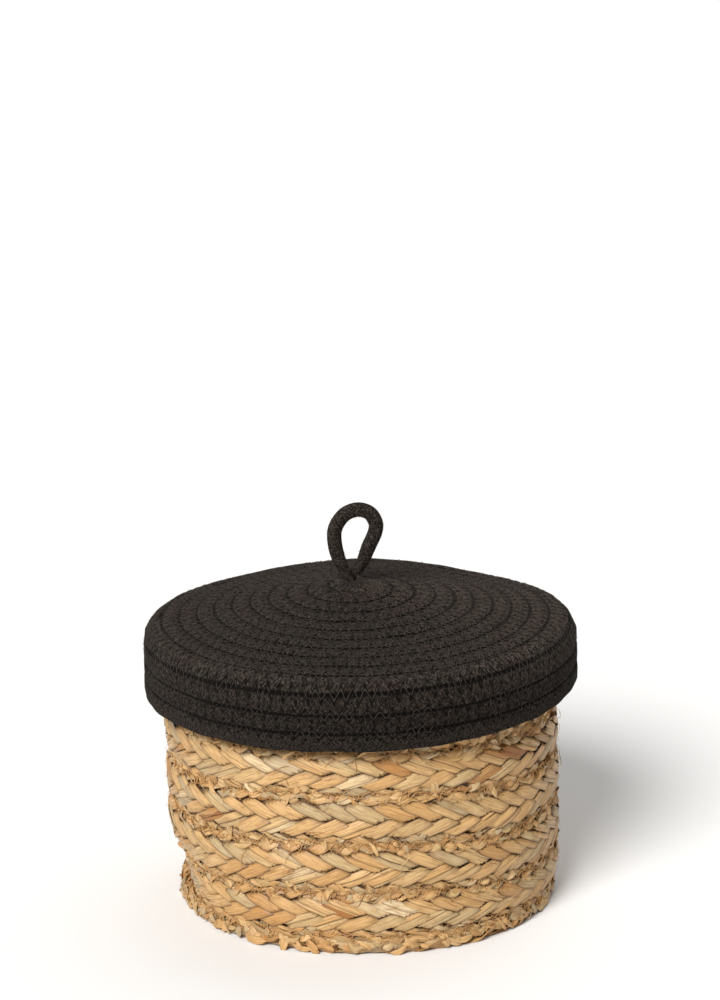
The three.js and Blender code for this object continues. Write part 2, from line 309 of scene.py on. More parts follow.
def slump(angle, level):
    """How far the wall stands out of round: a dent low on the left, a bulge on the right."""
    dent = -8.0 * near(angle, 186, 27) * np.exp(-((level - 17) / 13) ** 2)
    bulge = 2.4 * near(angle, 0, 32) * np.exp(-((level - 42) / 30) ** 2)
    waver = 0.35 * np.sin(3 * angle + 1.2 + level / 14) + 0.25 * np.sin(5 * angle + level / 9)
    return dent + bulge + waver


def basket_point(angle, radius, level):
    lean = BASKET_LEAN * (1 - level / RIM_HEIGHT) ** 2
    x = lean + radius * np.cos(angle)
    return np.stack([x, radius * np.sin(angle), level + 0 * angle], -1) * MM


def wall_point(angle, level, full, h):
    """A point of the wall: full is 0 at a seam and 1 in the middle of a course, h is out in mm."""
    seam_radius = RIM_RADIUS - FOOT_DRAW * ((RIM_HEIGHT - level) / (RIM_HEIGHT - BASE_RISE)) ** 2
    return basket_point(angle, seam_radius + BULGE * full - SUNK + h + slump(angle, level), level)


def wall_place(course):
    """The middle surface of one course: x round it and h out in mm, s across it from -0.5 to 0.5."""
    def place(x, s, h):
        angle = x / RING_RADIUS
        low, high = seam_level(course, angle), seam_level(course + 1, angle)
        level = (low + high) / 2 + s * (high - low)
        return wall_point(angle, level, 1 - np.abs(np.clip(2 * s, -1, 1)) ** 3, h)
    return place


def seam_place(course):
    """The surface at a seam: x round it, s above it and h out, in mm."""
    def place(x, s, h):
        angle = x / RING_RADIUS
        full = 1 - np.clip(1 - 2 * np.abs(s) / COURSE_PITCH, 0, 1) ** 3
        return wall_point(angle, seam_level(course, angle) + s, full, h)
    return place

# %% [markdown]
# ## Dry grass
# Each strand is a blade of dried grass or sedge, flattened and folded as it is plaited. Dried leaf
# is golden straw, with sage grey where it was cut green, cream where the sun bleached it and brown
# where it was old. Its surface is satin on the ridges and dull between them. Its real fibres are
# about 0.15 mm apart, too fine to show, so they are drawn 0.3 mm apart. A ramp gives every strand
# its colour from its tone, a noise stretched along the strand draws the fibres in colour, roughness
# and height, and a painted brown shade darkens its rims and where another strand covers it.

# %% Material: dried grass blade
STRAW_TONES = [(0.0, "9a622e"), (0.12, "bb864d"), (0.3, "cfa268"), (0.52, "dab179"),
               (0.7, "cdae7c"), (0.82, "bba781"), (0.92, "dfc293"), (1.0, "e7d0a6")]
FIBRES_PER_MM = (0.12, 3.2, 1.0)
PATCHES_PER_MM = (0.16, 0.35, 1.0)


def grass_material():
    material, add, shader = new_material("dried_grass_blade")
    tone = add("Attribute", output="Fac", attribute_name="tone")
    grain = add("Attribute", output="Vector", attribute_name="grain")
    marks = add("Attribute", output="Vector", attribute_name="marks")
    rim, tucked = add("SeparateXYZ", [marks]).node.outputs[:2]
    straw = add("ValToRGB", [tone], stops=STRAW_TONES)
    place = add("VectorMath", [grain, FIBRES_PER_MM], "MULTIPLY")
    fibre = add("TexNoise", {"Vector": place, "Scale": 1.0, "Detail": 3.0, "Roughness": 0.6})
    place = add("VectorMath", [grain, PATCHES_PER_MM], "MULTIPLY")
    patch = add("TexNoise", {"Vector": place, "Scale": 1.0})
    browned = add("MapRange", [patch, 0.55, 0.75, 0.0, 0.55])
    aged = add("Mix", {"Factor": browned, "A": straw, "B": linear("a87a45")}, data_type="RGBA")
    groove = add("Mix", {"Factor": 0.62, "A": aged, "B": linear("7c5528")}, data_type="RGBA")
    ridge = add("MapRange", [fibre, 0.36, 0.6])
    striped = add("Mix", {"Factor": ridge, "A": groove, "B": aged}, data_type="RGBA")
    # Painted shade: brown along the blade's thin rims and where other strands cover it.
    rim = add("Math", [rim, 6.0], "POWER")
    rim = add("Math", [rim, 0.8], "MULTIPLY")
    painted_shade = add("Math", [tucked, 0.82, rim], "MULTIPLY_ADD", use_clamp=True)
    straw_with_painted_shade = add("Mix", {"Factor": painted_shade, "A": striped, "B": linear("54351a")}, data_type="RGBA")
    rough = add("MapRange", [fibre, 0.0, 1.0, 0.58, 0.36])
    bump = add("Bump", {"Height": fibre, "Strength": 0.7, "Distance": 0.25 * MM})
    fill(shader, {"Base Color": straw_with_painted_shade, "Roughness": rough, "Normal": bump, "IOR": 1.45})
    return material


grass = grass_material()
print("grass colours:", len(STRAW_TONES))

# %% [markdown]
# ## The rule of the plait
# The strip is a flat plait of nine strands. Every strand runs from one edge to the other in a
# slant, folds over and runs back, and meets the other eight on its way. It goes under one, over
# three, under three and over one, and these long floats make the row of arrowheads. Where a strand
# dives under another, it follows that strand's edge, so its own two edges dive at different places.

# %% Heights and slow waves along a strand
STRANDS = 9
STRAND_SPACING = 13.1
FLOAT_RISE = 1.05
STRAND_HALF_DEPTH = 0.46
STRAND_HALF_WIDTH = 3.05
DIVES = (1.5, 4.5, 7.5)


def float_height(p):
    """-1 where the strand is under, 1 where it is over. p counts the crossings from an edge."""
    length, early = 0.32, 0.2
    starts = (DIVES[0] + early, DIVES[1] - early, DIVES[2] + early)
    ups = [smooth((p - start) / length + 0.5) for start in starts]
    ends = smooth((p + 0.35) / 1.0) * smooth((STRANDS + 0.35 - p) / 1.0)
    fold = np.where(p < STRANDS / 2, (1 - ends) * 0.3, 0)
    return (2 * (ups[0] - ups[1] + ups[2]) - 1) * ends + fold


def wobble(count, shares, knots):
    """Slow random waves, one for each body, from -1 to 1."""
    values = rng.uniform(-1, 1, (count, knots))
    at = np.clip(shares, 0, 1) * (knots - 1)
    low = np.minimum(at.astype(int), knots - 2)
    part = smooth(at - low)
    return values[:, low] * (1 - part) + values[:, low + 1] * part


def creased_sections(count):
    """A blade's section with its crease at a random place: bodies, 1, sides, 2."""
    crease = rng.uniform(-0.5, 0.5, count)
    ridge = rng.uniform(0.7, 1.4, count)
    edge, under = np.ones(count), rng.uniform(-0.75, -0.4, count)
    u = np.stack([-edge, (crease - 1) / 2, crease, (crease + 1) / 2, edge, 0.5 * edge, -0.5 * edge], -1)
    v = np.stack([0 * edge, 0.7 * edge, ridge, 0.7 * edge, 0 * edge, under, under], -1)
    return np.stack([u, v], -1)[:, None]

# %% [markdown]
# ## Plaiting a strip
# Half of the strands are split into two or three blades, each with its own tone, as grass splits
# when it is plaited dry. One function lays such a strip on any surface, because the wall's courses
# and the base are the same strip: it gives all blades their path, then height, width and roll.

# %% Blades of a plait, and the plait
def blades_of(count, spacing, length, closed):
    """For each blade its strand's start and way, its own offset and half width in mm, and its tone."""
    blades = []
    for way in (1, -1):
        for strand in range(count):
            start = strand * spacing + (0 if way > 0 else STRANDS / 2 * spacing)
            if not closed and start + STRANDS / 2 * spacing > length:
                continue
            tone = rng.normal(0.5, 0.13) if rng.random() < 0.62 else rng.uniform(0.1, 1.0)
            half = STRAND_HALF_WIDTH * rng.uniform(0.9, 1.14)
            cuts = rng.choice([1, 2, 3], p=[0.5, 0.37, 0.13])
            overlap, spread = (0.3, 0.15) if cuts > 1 else (0, 0)
            shares = rng.uniform(0.5, 1.5, cuts)
            shares = shares / shares.sum()
            edge = -half
            for share in shares:
                blade_tone = tone + rng.normal(0, spread)
                blades.append((start, way, edge + half * share, half * share + overlap, blade_tone))
                edge += 2 * half * share
    return np.array(blades).T


def plait(pile, place, length, width, closed=True, shade=1.0, steps=56):
    """Lays one strip, with its length and width in mm."""
    count = round(length / STRAND_SPACING)
    spacing = length / count
    slant = math.atan2(width / STRANDS, spacing / 2)
    *columns, tones = blades_of(count, spacing, length, closed)
    start, way, offset, half = (column[:, None] for column in columns)
    bodies = len(tones)
    p = np.linspace(-0.5, STRANDS + 0.5, steps)
    share = (p + 0.5) / (STRANDS + 1)
    from_middle = np.abs(p - STRANDS / 2)
    edge_zone = smooth((from_middle - 2.7) / 0.8)
    ends = smooth(from_middle - STRANDS / 2 + 0.3)
    tucks = sum(np.exp(-((p - dive) / 0.5) ** 2) for dive in DIVES)
    # The path: a zigzag with rounded folds at the edges, and each blade beside it in its own way.
    inside = STRANDS / 2 - np.sqrt((from_middle - STRANDS / 2) ** 2 + 0.02)
    s = np.sign(p - STRANDS / 2) * inside / STRANDS
    sway = wobble(bodies, share, 8)
    bow = rng.normal(0, 0.3, (bodies, 1)) * np.sin(np.pi * (p - 1.5) / 3)
    aside = offset * (1 - 0.35 * edge_zone) + sway * (0.28 + 0.85 * edge_zone) + bow
    x = start + p * spacing / 2 - way * aside * math.sin(slant)
    across = np.clip(way * s + aside * math.cos(slant) / width, -0.5, 0.5)
    # The height: a float ends along the edge of the strand that covers it.
    stack = rng.uniform(-0.16, 0.16, (bodies, 1))
    lift = wobble(bodies, share, 9) * (0.2 + 0.6 * edge_zone) + stack
    ahead, up = spacing / 2, width / STRANDS
    shear = way * (ahead ** 2 - up ** 2) / (2 * ahead * up * math.hypot(ahead, up))
    over = float_height(p + shear * aside)
    height = FLOAT_RISE * over * (1 - 0.2 * edge_zone) + lift
    centres = place(x, across, height)
    along = place(x + 1, across, height) - place(x - 1, across, height)
    upward = place(x, across + 0.01, height) - place(x, across - 0.01, height)
    outs = unit(np.cross(along, upward))
    # The blade: narrow where it is tucked under, and rolled a little to and fro.
    swell = 1 - rng.uniform(0, 0.32, (bodies, 1)) * tucks - 0.12 * edge_zone - 0.35 * ends
    widths = half * (swell + 0.07 * wobble(bodies, share, 7))
    tilt = 8 + rng.normal(0, 5, (bodies, 1)) + 4 * np.sign(offset)
    roll = np.radians(tilt + (5 + 13 * edge_zone) * wobble(bodies, share, 7))
    sections = creased_sections(bodies)
    depth = STRAND_HALF_DEPTH * (0.7 + 0.3 * half / STRAND_HALF_WIDTH) + 0 * widths
    rings = sweep(centres, outs, sections, widths, depth, roll)
    corner_aside = aside[..., None] - sections[..., 0] * widths[..., None]
    corner_over = float_height(p[:, None] + shear[..., None] * corner_aside)
    rings = rings + outs[..., None, :] * (corner_over - over[..., None])[..., None] * FLOAT_RISE * MM
    grain = grain_of(centres, sections, widths, rng.uniform(0, 900, bodies))
    # Where other strands cover it, shade is painted on the blade: outside when it is under, inside when
    # over, and more where it dives.
    rim = np.abs(sections[..., 0]) + 0 * widths[..., None]
    facing = np.where(sections[..., 1] < 0, -1, 1)
    tucked = np.clip(0.5 - 0.5 * corner_over * facing + 0.3 * tucks[..., None], 0, 1)
    marks = np.stack([rim * shade, tucked * shade, 0 * rim], -1)
    pile.add(rings, np.clip(tones, 0, 1), grain, marks=marks)

# %% [markdown]
# ## Scrunched edges
# Where two courses are sewn edge to edge, the thread pulls the folds of both plaits together. They
# buckle into small curls between the stitches, and single fibres come loose. Both are short bodies
# thrown along each seam, most of them nearly level: curls are arched blades, pointed at both ends,
# and fibres are hair-thin.

# %% Small curled blades and loose fibres along a seam
BLADE_SECTION = [(-1, 0), (-0.55, 0.7), (0, 1), (0.55, 0.7), (1, 0), (0.5, -0.7), (-0.5, -0.7)]
HAIR_SECTION = [(-0.9, -0.5), (0, 1), (0.9, -0.5)]


def curls(pile, place, length, count, low=-3.6, high=3.6, side=1,
          widest=2.7, longest=5.8, twist=1.0, rng=rng):
    """Curled blades along a length, between low and high across it. Sizes in mm."""
    t = np.linspace(-1, 1, 11)
    middle = (np.arange(count) + rng.uniform(-0.5, 0.5, count))[:, None] * length / count
    turn = np.radians(rng.normal(0, 36, (count, 1)))
    bend = rng.uniform(-0.35, 0.35, (count, 1))
    reach = rng.uniform(0.36 * longest, longest, (count, 1))
    along = reach * t
    sideways = bend * reach * (1 - t ** 2)
    x = middle + along * np.cos(turn) - sideways * np.sin(turn)
    s = rng.uniform(low, high, (count, 1)) + along * np.sin(turn) + sideways * np.cos(turn)
    s = np.clip(s, low - 1.6, high + 1.6)
    arch = rng.uniform(0.1, 1.3, (count, 1)) * (1 - t ** 2)
    h = side * (rng.uniform(0.0, 0.7, (count, 1)) + arch)
    centres, outs = laid_on(place, x, s, h, side)
    width = rng.uniform(0.35 * widest, widest, (count, 1)) * (1 - 0.85 * np.abs(t) ** 2.4)
    roll = twist * np.radians(rng.normal(0, 26, (count, 1)) + 42 * rng.uniform(-1, 1, (count, 1)) * t)
    rings = sweep(centres, outs, BLADE_SECTION, width, 0.22 + 0 * width, roll)
    tone = np.clip(rng.normal(0.56, 0.2, count), 0, 1)
    grain = grain_of(centres, BLADE_SECTION, width, rng.uniform(0, 900, count))
    # Shade is painted on the curl's rims and on its tucked ends.
    rim = 0.84 * np.abs(np.array(BLADE_SECTION)[:, 0]) + 0 * width[..., None]
    tucked = (0.35 * t ** 4)[None, :, None] + 0 * rim
    pile.add(rings, tone, grain, marks=np.stack([rim, tucked, 0 * rim], -1))


def fibres(pile, place, length, count, low, high, lift=(0.2, 1.5)):
    """Loose fibres, split from the blades: thin, bent and thrown along a seam or over a course."""
    t = np.linspace(-1, 1, 9)
    middle = rng.uniform(0, length, (count, 1))
    turn = np.radians(rng.normal(0, 38, (count, 1)))
    reach = rng.uniform(1.8, 6.5, (count, 1))
    sideways = rng.uniform(-0.5, 0.5, (count, 1)) * reach * (1 - t ** 2)
    x = middle + reach * t * np.cos(turn) - sideways * np.sin(turn)
    s = rng.uniform(low, high, (count, 1)) + reach * t * np.sin(turn) + sideways * np.cos(turn)
    s = np.clip(s, low - 2.5, high + 2.5)
    rise = rng.uniform(*lift, (count, 1)) + rng.uniform(-0.5, 0.5, (count, 1)) * t
    h = rise + rng.uniform(0, 1.1, (count, 1)) * (1 - t ** 2)
    centres, outs = laid_on(place, x, s, h)
    width = rng.uniform(0.07, 0.2, (count, 1)) * (1 - 0.7 * t ** 4)
    rings = sweep(centres, outs, HAIR_SECTION, width, 0.7 * width)
    tone = np.clip(rng.normal(0.36, 0.22, count), 0, 1)
    pile.add(rings, tone, grain_of(centres, HAIR_SECTION, width, rng.uniform(0, 900, count)))

# %% [markdown]
# ## The five courses
# Each course is one ring of the strip with the scrunched edge below it. The lowest also has a frill
# at its foot, where it is sewn to the base, and the top one has a row of curls along the rim. The
# curls inside the seams have a random row of their own.

# %% Plaited courses of the wall
inner_rng = np.random.default_rng(11)


def foot_place(x, s, h):
    return seam_place(0)(x, s, 0.5 * h + 0.9)


for course in range(COURSES):
    pile = Pile()
    seam = seam_place(course)
    plait(pile, wall_place(course), RING_LENGTH, COURSE_PITCH)
    curls(pile, seam, RING_LENGTH, 215)
    fibres(pile, seam, RING_LENGTH, 220, -3.2, 3.2)
    if course > 0:
        curls(pile, seam, RING_LENGTH, 110, -3.0, 3.0, side=-1, rng=inner_rng)
    else:
        curls(pile, foot_place, RING_LENGTH, 150, -5.8, -2.6,
              widest=2.5, longest=7.0, twist=0.5)
    fibres(pile, seam, RING_LENGTH, 60, 5, 20, (1.2, 2.2))
    if course == COURSES - 1:
        curls(pile, seam_place(COURSES), RING_LENGTH, 90, -3.2, -0.4)
    name = f"plaited_course_{course + 1}"
    pile.build(name, grass, "basket", f"wall_course_{course + 1}", sharp=24)

# %% [markdown]
# ## Thread in the basket's seams
# The courses are joined by a coarse thread of twisted plant fibre, tan brown and matt, in a
# zigzag that catches both edges. It was sewn by hand on a heavy machine: the stitches lean, cross
# and bunch. A tube follows alternating points above and below the seam, twice over outside and once
# inside. A noise at the scale of the thread's twist gives it its light and dark turns.

# %% Material: twisted plant-fibre thread
def thread_material(name, light, dark, twist_mm, roughness):
    material, add, shader = new_material(name)
    grain = add("Attribute", output="Vector", attribute_name="grain")
    place = add("VectorMath", [grain, (1 / twist_mm, 1 / twist_mm, 1.0)], "MULTIPLY")
    twist = add("TexNoise", {"Vector": place, "Scale": 1.0})
    colour = add("ValToRGB", [twist], stops=[(0.35, dark), (0.65, light)])
    bump = add("Bump", {"Height": twist, "Strength": 0.5, "Distance": 0.1 * MM})
    fill(shader, {"Base Color": colour, "Normal": bump, "Roughness": roughness, "IOR": 1.47})
    return material


tan_thread = thread_material("twisted_plant_fibre_thread", "cfa067", "94683a", 0.7, 0.85)

# %% Zigzag stitches along the seams
THREAD_SECTION = [(math.cos(TURN * i / 5), math.sin(TURN * i / 5)) for i in range(5)]


def add_thread(pile, centres, outs, radius, closed=False):
    """Adds a thread. A closed one is swept past both ends, so that it meets itself smoothly."""
    steps = [*range(len(centres))]
    around = [-1, *steps, 0] if closed else steps
    rings = sweep(centres[around], outs[around], THREAD_SECTION, radius, radius)
    rings = rings[1:-1] if closed else rings
    grain = grain_of(centres[None], THREAD_SECTION, np.full((1, len(centres)), radius), 0.0)
    pile.add(rings[None], 0.5, grain, closed)


def zigzag(pile, place, length, stitch, reach, lift, radius, side=1, closed=True):
    """One thread sewn from side to side of a seam. Lengths in mm."""
    count = round(length / stitch)
    knots_x = (np.arange(count) + rng.uniform(-0.6, 0.6, count)) * length / count
    knots_s = np.where(np.arange(count) % 2, 1, -1) * rng.uniform(0.35, 1.2, count) * reach
    steps = 4
    at = np.arange(count * steps if closed else (count - 1) * steps + 1) / steps
    low = np.floor(at).astype(int)
    high = low + 1
    part = smooth(at - low)
    wrap = np.where(high >= count, length if closed else 0, 0)
    x = knots_x[low] * (1 - part) + (knots_x[high % count] + wrap) * part
    s = knots_s[low] * (1 - part) + knots_s[high % count] * part
    taut = np.sin(np.pi * (at - low))
    h = side * (lift + 0.25 * taut + rng.uniform(-0.15, 0.3, len(at)))
    centres, outs = laid_on(place, x, s, h, side)
    add_thread(pile, centres, outs, radius, closed)


for number in range(COURSES):
    pile = Pile()
    place = seam_place(number)
    zigzag(pile, place, RING_LENGTH, 3.4, 3.3, 1.4, 0.23)
    zigzag(pile, place, RING_LENGTH, 4.7, 2.4, 1.3, 0.2)
    zigzag(pile, place, RING_LENGTH, 4.4, 2.8, 1.9, 0.26, side=-1)
    name = f"wall_zigzag_{number + 1}"
    pile.build(name, tan_thread, "basket", f"wall_seam_thread_{number + 1}")

# %% [markdown]
# ## The base
# The base is the same strip wound flat from the centre. At the back it steps out by its own width
# once a turn. Its underside lies on the floor, and its last edge turns up to meet the wall. The
# inner turns are plaited by their outer edge, so that the strands lie as close there as elsewhere.

# %% Where a place on the base is
BASE_OUTER = RIM_RADIUS - FOOT_DRAW + 1.5
BASE_CORNER = 5.6
BASE_SQUARENESS = 4
BASE_FLAT = BASE_OUTER - BASE_CORNER
BASE_CORNER_LENGTH = BASE_CORNER * TURN / 4
BASE_EDGE = BASE_FLAT + BASE_CORNER_LENGTH + BASE_RISE - BASE_CORNER - CLEARANCE
STRIP_WIDTH = COURSE_PITCH - 0.65
CENTRE_HOLE = 1.4
BASE_TURNS = 4
BASE_MIDDLE = 1.95


def base_point(turns, along, depth):
    """A point of the base, at a distance from the centre along its profile. The corner is squarish."""
    angle = TURN / 8 - turns * TURN
    bend = np.clip((along - BASE_FLAT) / BASE_CORNER, 0, TURN / 4)
    upright = np.maximum(0, along - BASE_FLAT - BASE_CORNER_LENGTH)
    squared = (np.sin(bend) ** BASE_SQUARENESS + np.cos(bend) ** BASE_SQUARENESS) ** (-1 / BASE_SQUARENESS)
    reach = squared * (BASE_CORNER - depth)
    radius = np.where(along < BASE_FLAT, along, BASE_FLAT + reach * np.sin(bend))
    radius = radius + slump(angle, BASE_RISE) * smooth((along - BASE_FLAT) / (BASE_EDGE - BASE_FLAT))
    return basket_point(angle, radius, BASE_CORNER - reach * np.cos(bend) + upright)


def strip_centre(turns):
    whole = np.floor(turns)
    jog = smooth((turns - whole - 0.75) / 0.25)
    return BASE_EDGE - STRIP_WIDTH / 2 + COURSE_PITCH * (whole - BASE_TURNS + 1 + jog)


turn_table = np.linspace(-0.35, BASE_TURNS - 0.02, 900)
table_radius = np.maximum(strip_centre(turn_table), 5.0) + 11 * (1 - smooth(turn_table / 3))
table_length = np.concatenate([[0], np.cumsum(TURN * np.diff(turn_table) * table_radius[1:])])


def strip_turns(x):
    """Turns wound at a length in mm. Past the ends they hardly go on, so no two places are one."""
    held = np.clip(x, 0, table_length[-1])
    return np.interp(held, table_length, turn_table) + 0.0002 * (x - held)


def base_place(x, s, h):
    turns = strip_turns(x)
    centre = strip_centre(turns)
    inner = np.maximum(CENTRE_HOLE, centre - STRIP_WIDTH / 2)
    outer = np.minimum(BASE_EDGE, centre + STRIP_WIDTH / 2)
    along = inner + (np.clip(s, -0.5, 0.5) + 0.5) * (outer - inner)
    return base_point(turns, along, BASE_MIDDLE - h)


def base_seam_place(x, s, h):
    turns = strip_turns(x)
    along = strip_centre(turns) + COURSE_PITCH / 2 + s
    return base_point(turns, np.maximum(along, CENTRE_HOLE), BASE_MIDDLE - h)

# %% Coiled base and its thread
pile = Pile()
base_length = float(table_length[-1])
seam_end = float(np.interp(BASE_TURNS - 1.05, turn_table, table_length))
plait(pile, base_place, base_length, STRIP_WIDTH, closed=False, shade=0.5, steps=30)
for side in (1, -1):
    curls(pile, base_seam_place, seam_end, 100, -2.6, 2.6, side)
pile.build("coiled_base", grass, "basket", "base_coil", sharp=50)
pile = Pile()
zigzag(pile, base_seam_place, seam_end, 3.6, 3.0, 1.2, 0.3, closed=False)
zigzag(pile, base_seam_place, seam_end, 3.6, 3.0, 1.6, 0.3, side=-1, closed=False)
pile.build("base_zigzag", tan_thread, "basket", "base_seam_thread")

# %% [markdown]
# ## The shape of the lid
# The lid is one cotton rope wound clockwise from its peak, a shallow cone that turns down over the
# rim. A place on it is a number of loops wound, a distance across the rope and a height above its
# middle. The cone rises to a small point at the loop's legs, where the first turn is drawn close.

# %% Where a place on the lid is
ROPE_PITCH = 8.95
ROPE_WIDTH = ROPE_PITCH - 0.68
ROPE_THICKNESS = 7.0
SLOPE = math.radians(10.2)
LID_TILT = math.radians(1.1)
CROWN_LEAN = -2.4
LEG_RADIUS = 2.5
LEG_OFFSET = 2.65
LID_PLAY = 2
EDGE_OUTER_RADIUS = 10.5
EDGE_RADIUS = EDGE_OUTER_RADIUS - ROPE_THICKNESS / 2
EDGE_CENTRE = RIM_RADIUS + BULGE + LID_PLAY + ROPE_THICKNESS - EDGE_OUTER_RADIUS
CROWN_REACH = EDGE_CENTRE + EDGE_RADIUS * math.sin(SLOPE)
CROWN_LENGTH = CROWN_REACH / math.cos(SLOPE)
EDGE_LENGTH = EDGE_RADIUS * (TURN / 4 - SLOPE)
PEAK = EDGE_RADIUS * math.cos(SLOPE) + CROWN_REACH * math.tan(SLOPE)
PEAK_RISE = 4.2
PEAK_REACH = 9
ROPE_START = LEG_OFFSET + LEG_RADIUS + 0.9 + ROPE_WIDTH / 2
SKIRT_DEPTH = 23.5
ROPE_LOOPS = (CROWN_LENGTH + EDGE_LENGTH + SKIRT_DEPTH - ROPE_START) / ROPE_PITCH
CROWN_LOOPS = (CROWN_LENGTH - ROPE_START) / ROPE_PITCH


def crown_underside(radius):
    return PEAK - radius * math.tan(SLOPE) - ROPE_THICKNESS / 2 / math.cos(SLOPE)


LID_SEAT = (RIM_HEIGHT + CLEARANCE + RIM_RADIUS * math.sin(LID_TILT)
            - crown_underside(RIM_RADIUS) * math.cos(LID_TILT))


def lid_to_world(x, y, z):
    """From the lid's own level to the world, in metres: the lid sits a little low on its left."""
    c, s = math.cos(LID_TILT), math.sin(LID_TILT)
    return np.stack([x * c - z * s, y + 0 * x, x * s + z * c + LID_SEAT], -1) * MM


def lid_profile(loops, across):
    """How far down the lid's profile a place on the rope is, in mm from the centre."""
    return np.maximum(ROPE_START + ROPE_PITCH * loops + across, 0.3)


def lid_point(loops, across, height):
    angle = -TURN / 4 - loops * TURN
    along = lid_profile(loops, across)
    crown = along < CROWN_LENGTH
    facing = np.clip(SLOPE + (along - CROWN_LENGTH) / EDGE_RADIUS, SLOPE, TURN / 4)
    down = np.maximum(0, along - CROWN_LENGTH - EDGE_LENGTH)
    radius = np.where(crown, along * math.cos(SLOPE), EDGE_CENTRE + EDGE_RADIUS * np.sin(facing))
    level = np.where(crown, PEAK - along * math.sin(SLOPE), EDGE_RADIUS * np.cos(facing) - down)
    radius = radius + height * np.sin(facing)
    level = level + height * np.cos(facing)
    lean = CROWN_LEAN * np.maximum(0, 1 - along / CROWN_LENGTH)
    close = np.exp(-np.maximum(along - ROPE_START, 0) / PEAK_REACH)
    peak = PEAK_RISE * np.exp(-np.maximum(along - LEG_RADIUS, 0) / PEAK_REACH)
    level = level + peak - sag(angle) * smooth((along - 20) / 65)
    snug_x, snug_y = 1 - 0.52 * close, 1 - 0.24 * close
    return lid_to_world(lean + radius * np.cos(angle) * snug_x, radius * np.sin(angle) * snug_y, level)


print("crown:", round(CROWN_REACH, 1), "mm, rope loops:", round(ROPE_LOOPS, 2))

# %% [markdown]
# ## Braided cotton rope
# The rope is soft black cotton, braided and washed out to a warm charcoal. Its yarns lie 2 mm apart
# and slant to and fro in columns 4.6 mm wide, which makes small arrowheads. The single fibres, a
# fiftieth of a millimetre, are too fine to show, so the fuzz is drawn as grains of two thirds of a
# millimetre. The machine's zigzag stitch presses a furrow into the rope on both sides of each seam
# and leaves the needle's holes at its tips, and between the stitches the seam gapes in small pits.
# Shade is painted dark into the pits, holes, furrows and the hollows between the yarns, and light is
# painted onto the backs of the yarns. The mesh counts the stitches on either side of each loop of
# rope, and the material draws the zigzag from that count and from the distance to the seam.

# %% Material: braided black cotton
YARN_MM = 2.0
COLUMN_MM = 4.6
ZIGZAG_REACH = 2.35
FURROW_REACH = 3.5
HOLE_MM = 0.9
FUZZ_PER_MM = (1.5, 1.2, 1.5)
WARP_PER_MM = (0.5, 0.5, 1.0)
STROKES_PER_MM = (1.25, 0.36, 1.0)
DYE_PER_MM = (0.05, 0.11, 1.0)
COTTON_SHADED_TONES = [(0.2, "020101"), (0.42, "0c0a08"), (0.66, "28231f"), (0.96, "625953")]


